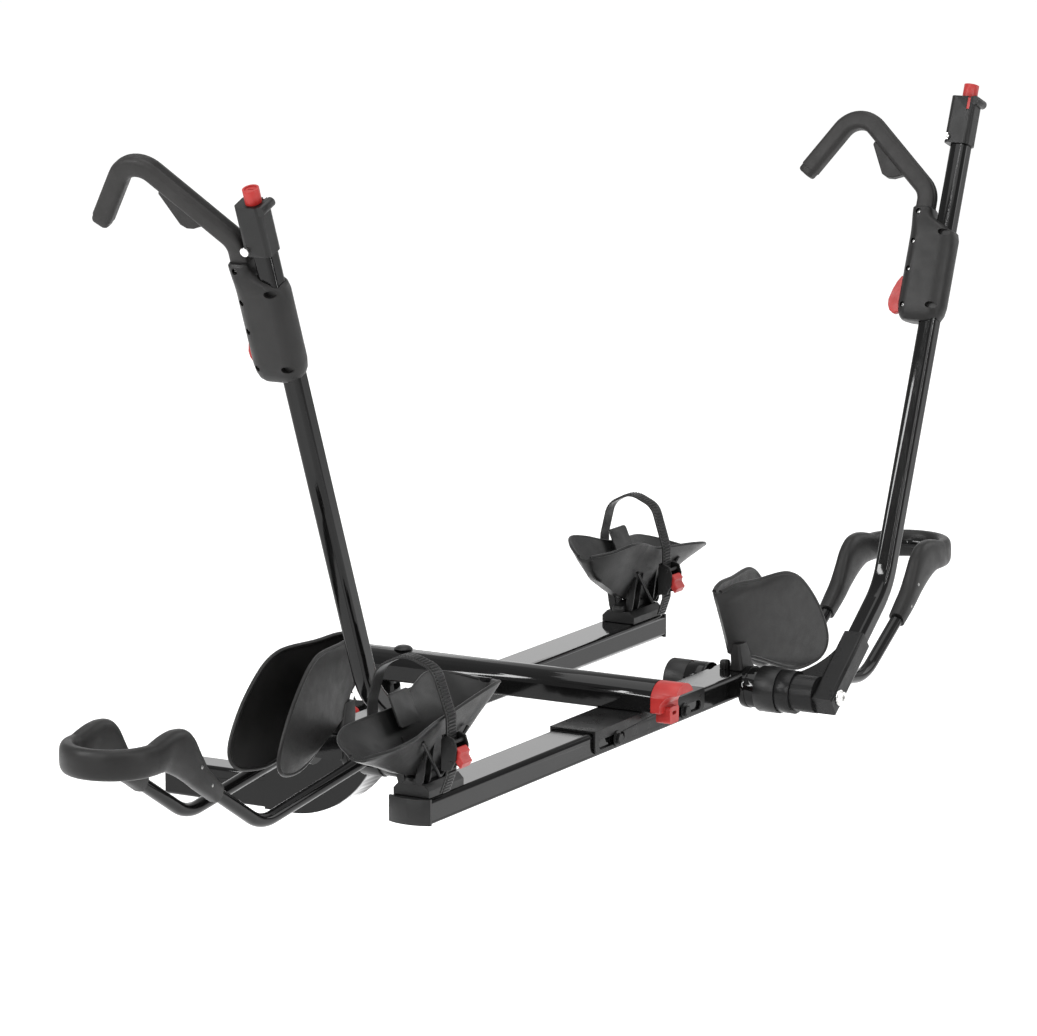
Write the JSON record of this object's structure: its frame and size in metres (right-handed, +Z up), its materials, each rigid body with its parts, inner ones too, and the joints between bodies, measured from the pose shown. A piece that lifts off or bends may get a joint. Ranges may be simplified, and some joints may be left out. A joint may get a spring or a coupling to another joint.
{
  "type": "hitch mounted bike rack",
  "caption": "Hitch mounted platform bike rack with tilting spine, sliding wheel trays, folding front wheel hoops, ratcheting hooks on masts and strapped rear wheel cradles.",
  "frame": {"origin": "centre of the hitch pin bore in the stinger", "axes": "+X along the wheel trays, toward the outer tray's mast; +Y forward to the vehicle; +Z up"},
  "size_m": [1.863, 0.941, 1.0487],
  "materials": {
    "gloss_black": "gloss powder coat",
    "cast_black": "satin casting",
    "black_plastic": "fine grained matte",
    "black_rubber": "soft matte sleeve over a steel core",
    "red_plastic": "semi matte",
    "bright_steel": "zinc plated"
  },
  "bodies": {
    "hitch": {"hitch_stinger": "gloss_black", "pivot_bracket": "gloss_black", "pivot_bolt": "bright_steel"},
    "tilt_pin": {"tilt_pin": "bright_steel", "tilt_pin_grip": "red_plastic"},
    "rack": {"spine_tube": "gloss_black", "spine_plug": "black_plastic", "tray_tube_outer": "gloss_black", "tray_end_cap_outer": "black_plastic", "tray_saddle_outer": "gloss_black", "saddle_bolts_outer": "bright_steel", "hub_axle_outer": "bright_steel", "hub_end_cap_outer": "gloss_black", "wheel_scoop_outer": "black_plastic", "tray_tube_inner": "gloss_black", "tray_end_cap_inner": "black_plastic", "tray_saddle_inner": "gloss_black", "saddle_bolts_inner": "bright_steel", "hub_axle_inner": "bright_steel", "hub_end_cap_inner": "gloss_black", "wheel_scoop_inner": "black_plastic"},
    "handle": {"tilt_handle": "red_plastic"},
    "hoop_outer": {"hoop_tube_outer": "gloss_black", "hoop_cover_outer": "black_plastic", "hub_collar_outer": "black_plastic"},
    "mast_outer": {"mast_foot_outer": "cast_black", "mast_tube_outer": "gloss_black", "mast_tip_cap_outer": "black_plastic", "tip_bolt_outer": "bright_steel"},
    "lock_outer": {"lock_cylinder_outer": "red_plastic"},
    "hook_outer": {"hook_housing_front_outer": "black_plastic", "hook_housing_back_outer": "black_plastic", "hook_arm_outer": "black_rubber", "hook_screws_outer": "bright_steel"},
    "trigger_outer": {"hook_trigger_outer": "red_plastic"},
    "cradle_outer": {"cradle_clamp_outer": "black_plastic", "wheel_cradle_outer": "black_plastic", "ladder_strap_outer": "black_plastic", "buckle_body_outer": "black_plastic"},
    "latch_outer": {"buckle_latch_outer": "red_plastic"},
    "knob_outer": {"hoop_lock_knob_outer": "black_plastic"},
    "hoop_inner": {"hoop_tube_inner": "gloss_black", "hoop_cover_inner": "black_plastic", "hub_collar_inner": "black_plastic"},
    "mast_inner": {"mast_foot_inner": "cast_black", "mast_tube_inner": "gloss_black", "mast_tip_cap_inner": "black_plastic", "tip_bolt_inner": "bright_steel"},
    "lock_inner": {"lock_cylinder_inner": "red_plastic"},
    "hook_inner": {"hook_housing_front_inner": "black_plastic", "hook_housing_back_inner": "black_plastic", "hook_arm_inner": "black_rubber", "hook_screws_inner": "bright_steel"},
    "trigger_inner": {"hook_trigger_inner": "red_plastic"},
    "cradle_inner": {"cradle_clamp_inner": "black_plastic", "wheel_cradle_inner": "black_plastic", "ladder_strap_inner": "black_plastic", "buckle_body_inner": "black_plastic"},
    "latch_inner": {"buckle_latch_inner": "red_plastic"},
    "knob_inner": {"hoop_lock_knob_inner": "black_plastic"}
  },
  "joints": [
    {"name": "spine_tilt", "type": "hinge", "parent": "hitch", "child": "rack", "pos_m": [0, -0.257, 0.168], "axis": [1, 0, 0], "range_deg": [-90, 35]},
    {"name": "tilt_pin_pull", "type": "slide", "parent": "hitch", "child": "tilt_pin", "axis": [-1, 0, 0], "range_m": [0, 0.012], "stiffness_N_per_m": 300, "springref_m": -0.01},
    {"name": "handle_pull", "type": "slide", "parent": "rack", "child": "handle", "axis": [0, -1, 0], "range_m": [0, 0.012], "stiffness_N_per_m": 300, "springref_m": -0.01},
    {"name": "hoop_fold_outer", "type": "hinge", "parent": "rack", "child": "hoop_outer", "pos_m": [0.306, -0.669, 0.158], "axis": [0, -1, 0], "range_deg": [0, 160]},
    {"name": "mast_fold_outer", "type": "hinge", "parent": "rack", "child": "mast_outer", "pos_m": [0.306, -0.827, 0.158], "axis": [0, -1, 0], "range_deg": [0, 102]},
    {"name": "lock_turn_outer", "type": "hinge", "parent": "mast_outer", "child": "lock_outer", "pos_m": [0.75179, -0.827, 0.97897], "axis": [0.3688, 0, 0.9295], "range_deg": [0, 90]},
    {"name": "hook_slide_outer", "type": "slide", "parent": "mast_outer", "child": "hook_outer", "axis": [0.3688, 0, 0.9295], "range_m": [-0.33, 0.088]},
    {"name": "trigger_squeeze_outer", "type": "hinge", "parent": "hook_outer", "child": "trigger_outer", "pos_m": [0.64446, -0.779, 0.70849], "axis": [-0.9295, 0, 0.3688], "range_deg": [0, 8], "stiffness_Nm_per_rad": 0.5, "springref_deg": -11.46},
    {"name": "cradle_slide_outer", "type": "slide", "parent": "rack", "child": "cradle_outer", "axis": [-1, 0, 0], "range_m": [-0.24, 0]},
    {"name": "buckle_release_outer", "type": "hinge", "parent": "cradle_outer", "child": "latch_outer", "pos_m": [-0.566, -0.7282, 0.256], "axis": [-1, 0, 0], "range_deg": [0, 40], "stiffness_Nm_per_rad": 0.05, "springref_deg": -17.19},
    {"name": "hoop_unlock_outer", "type": "slide", "parent": "rack", "child": "knob_outer", "axis": [0, 0, 1], "range_m": [0, 0.008], "stiffness_N_per_m": 300, "springref_m": -0.01},
    {"name": "hoop_fold_inner", "type": "hinge", "parent": "rack", "child": "hoop_inner", "pos_m": [-0.306, -0.378, 0.158], "axis": [0, 1, 0], "range_deg": [0, 160]},
    {"name": "mast_fold_inner", "type": "hinge", "parent": "rack", "child": "mast_inner", "pos_m": [-0.306, -0.536, 0.158], "axis": [0, 1, 0], "range_deg": [0, 102]},
    {"name": "lock_turn_inner", "type": "hinge", "parent": "mast_inner", "child": "lock_inner", "pos_m": [-0.75179, -0.536, 0.97897], "axis": [-0.3688, 0, 0.9295], "range_deg": [0, 90]},
    {"name": "hook_slide_inner", "type": "slide", "parent": "mast_inner", "child": "hook_inner", "axis": [-0.3688, 0, 0.9295], "range_m": [-0.415, 0.003]},
    {"name": "trigger_squeeze_inner", "type": "hinge", "parent": "hook_inner", "child": "trigger_inner", "pos_m": [-0.67581, -0.488, 0.78749], "axis": [-0.9295, 0, -0.3688], "range_deg": [0, 8], "stiffness_Nm_per_rad": 0.5, "springref_deg": -11.46},
    {"name": "cradle_slide_inner", "type": "slide", "parent": "rack", "child": "cradle_inner", "axis": [1, 0, 0], "range_m": [-0.24, 0]},
    {"name": "buckle_release_inner", "type": "hinge", "parent": "cradle_inner", "child": "latch_inner", "pos_m": [0.566, -0.4372, 0.256], "axis": [-1, 0, 0], "range_deg": [0, 40], "stiffness_Nm_per_rad": 0.05, "springref_deg": -17.19},
    {"name": "hoop_unlock_inner", "type": "slide", "parent": "rack", "child": "knob_inner", "axis": [0, 0, 1], "range_m": [0, 0.008], "stiffness_N_per_m": 300, "springref_m": -0.01}
  ]
}
